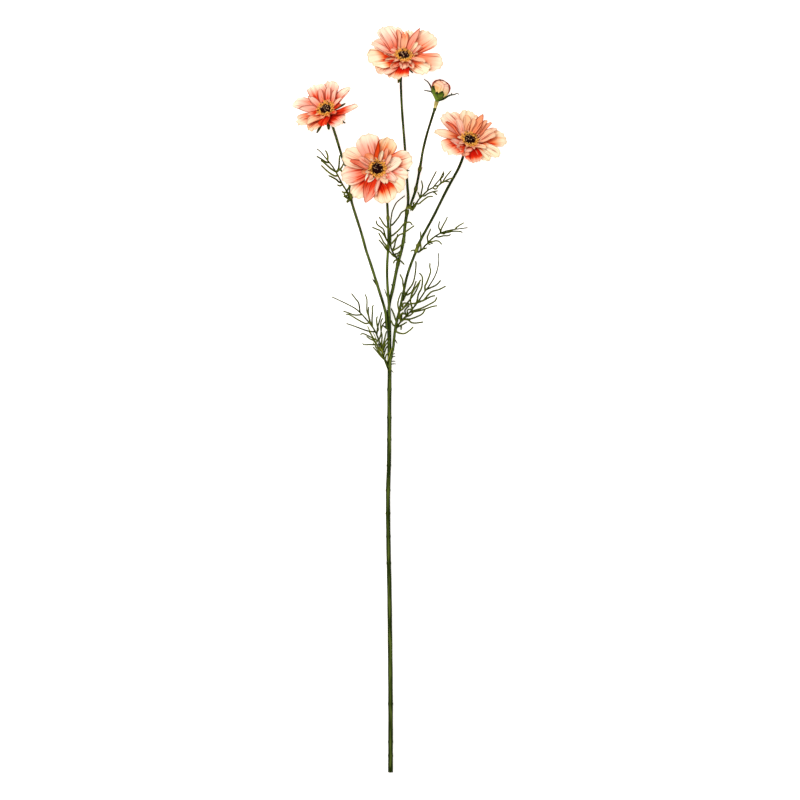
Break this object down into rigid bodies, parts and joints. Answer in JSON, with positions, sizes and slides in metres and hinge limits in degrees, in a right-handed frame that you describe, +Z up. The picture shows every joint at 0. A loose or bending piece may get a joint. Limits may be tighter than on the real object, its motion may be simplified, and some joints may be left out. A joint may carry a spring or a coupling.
{
  "type": "artificial cosmos flower spray",
  "caption": "Artificial cosmos spray: a long cut stem branching into open layered blossoms, a closed bud and feathery thread-like leaves, lying flat on a surface.",
  "frame": {"origin": "middle of the bottom of the whole spray, on the surface that it lies on", "axes": "+Y along the stem from its cut end to the blossoms, +Z up from the surface that the spray lies on"},
  "size_m": [0.211, 0.7468, 0.0444],
  "materials": {
    "stem_green": "satin",
    "branch_green": "satin",
    "leaf_green": "satin",
    "calyx_green": "satin",
    "collar_olive": "satin",
    "petal_pink": "matte",
    "petal_coral": "matte",
    "petal_cream": "matte",
    "stamen_yellow": "matte",
    "centre_maroon": "satin"
  },
  "bodies": {
    "root": {"main_stem": "stem_green", "centre_branch": "branch_green", "top_branch": "branch_green", "left_branch": "branch_green", "front_branch": "branch_green", "right_branch": "branch_green", "bud_branch": "branch_green", "bud_collar": "collar_olive", "bud_calyx": "calyx_green", "bud_petals": "petal_pink", "top_calyx": "calyx_green", "top_outer_petals": "petal_pink", "top_middle_petals": "petal_coral", "top_inner_petals": "petal_cream", "top_stamens": "stamen_yellow", "top_centre": "centre_maroon", "left_calyx": "calyx_green", "left_outer_petals": "petal_pink", "left_middle_petals": "petal_coral", "left_inner_petals": "petal_cream", "left_stamens": "stamen_yellow", "left_centre": "centre_maroon", "front_calyx": "calyx_green", "front_outer_petals": "petal_pink", "front_middle_petals": "petal_coral", "front_inner_petals": "petal_cream", "front_stamens": "stamen_yellow", "front_centre": "centre_maroon", "right_calyx": "calyx_green", "right_outer_petals": "petal_pink", "right_middle_petals": "petal_coral", "right_inner_petals": "petal_cream", "right_stamens": "stamen_yellow", "right_centre": "centre_maroon", "lower_left_leaf": "leaf_green", "lower_right_leaf": "leaf_green", "right_leaf": "leaf_green", "centre_leaf": "leaf_green", "upper_right_leaf": "leaf_green", "upper_left_leaf": "leaf_green"}
  },
  "joints": []
}
